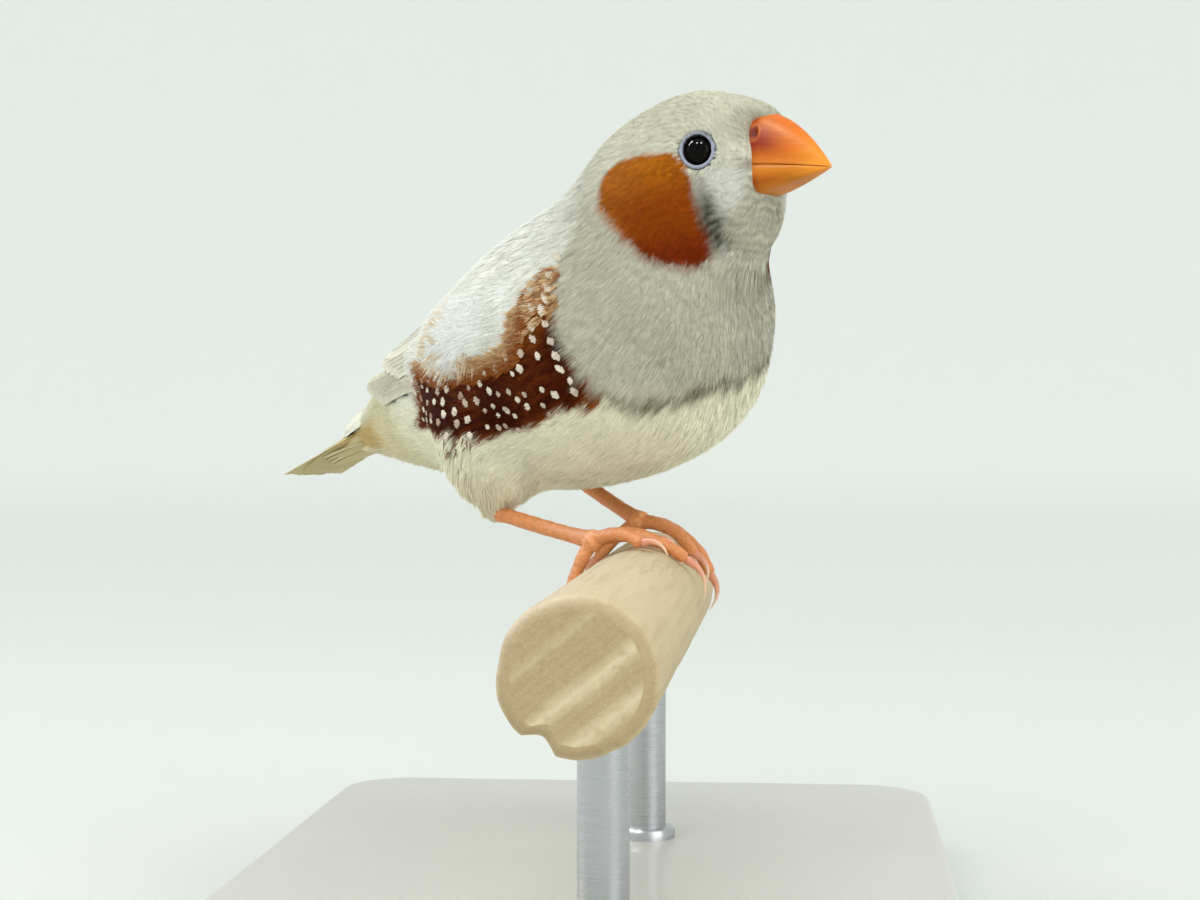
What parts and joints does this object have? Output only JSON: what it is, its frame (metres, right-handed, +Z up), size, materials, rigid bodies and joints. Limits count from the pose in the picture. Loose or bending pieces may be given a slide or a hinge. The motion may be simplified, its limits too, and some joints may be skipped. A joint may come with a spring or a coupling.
{
  "type": "zebra finch display model",
  "caption": "Life-size still model of a perched zebra finch, pale colour form, gripping a short dowel held on a flat base by short rods.",
  "frame": {"origin": "middle of the underside of the stand's base", "axes": "+Z up; +Y along the perch, away from its near cut end; the bird looks between +X and -Y"},
  "size_m": [0.0873, 0.1223, 0.094],
  "materials": {
    "plumage_head": "soft pale cream-grey feathers, orange cheek patch, dark tear mark",
    "plumage_body": "soft feathers: grey breast, cream belly, chestnut flanks with white spots",
    "plumage_wing": "off-white wing feathers with fine shafts and barbs",
    "plumage_tail": "cream tail feathers with fine shafts and barbs",
    "eye": "wet, glossy black-brown",
    "bill": "waxy orange-red horn, yellower at the tip",
    "leg": "orange-pink scaly skin",
    "claw": "pale translucent pink horn",
    "perch": "bare pale dowel, worn and lightly cracked",
    "stand_base": "pale satin paint",
    "stand_rod": "brushed"
  },
  "bodies": {
    "root": {"head": "plumage_head", "neck": "plumage_head", "torso": "plumage_body", "rump": "plumage_body", "tail": "plumage_tail", "wing_left": "plumage_wing", "wing_right": "plumage_wing", "thigh_left": "plumage_body", "thigh_right": "plumage_body", "bill_upper": "bill", "bill_lower": "bill", "eye_left": "eye", "eye_right": "eye", "tarsus_left": "leg", "tarsus_right": "leg", "foot_left": "leg", "foot_right": "leg", "claw_left_inner": "claw", "claw_left_middle": "claw", "claw_left_outer": "claw", "claw_left_hind": "claw", "claw_right_inner": "claw", "claw_right_middle": "claw", "claw_right_outer": "claw", "claw_right_hind": "claw", "perch": "perch", "stand_rod_front": "stand_rod", "stand_rod_rear": "stand_rod", "stand_base": "stand_base"}
  },
  "joints": []
}
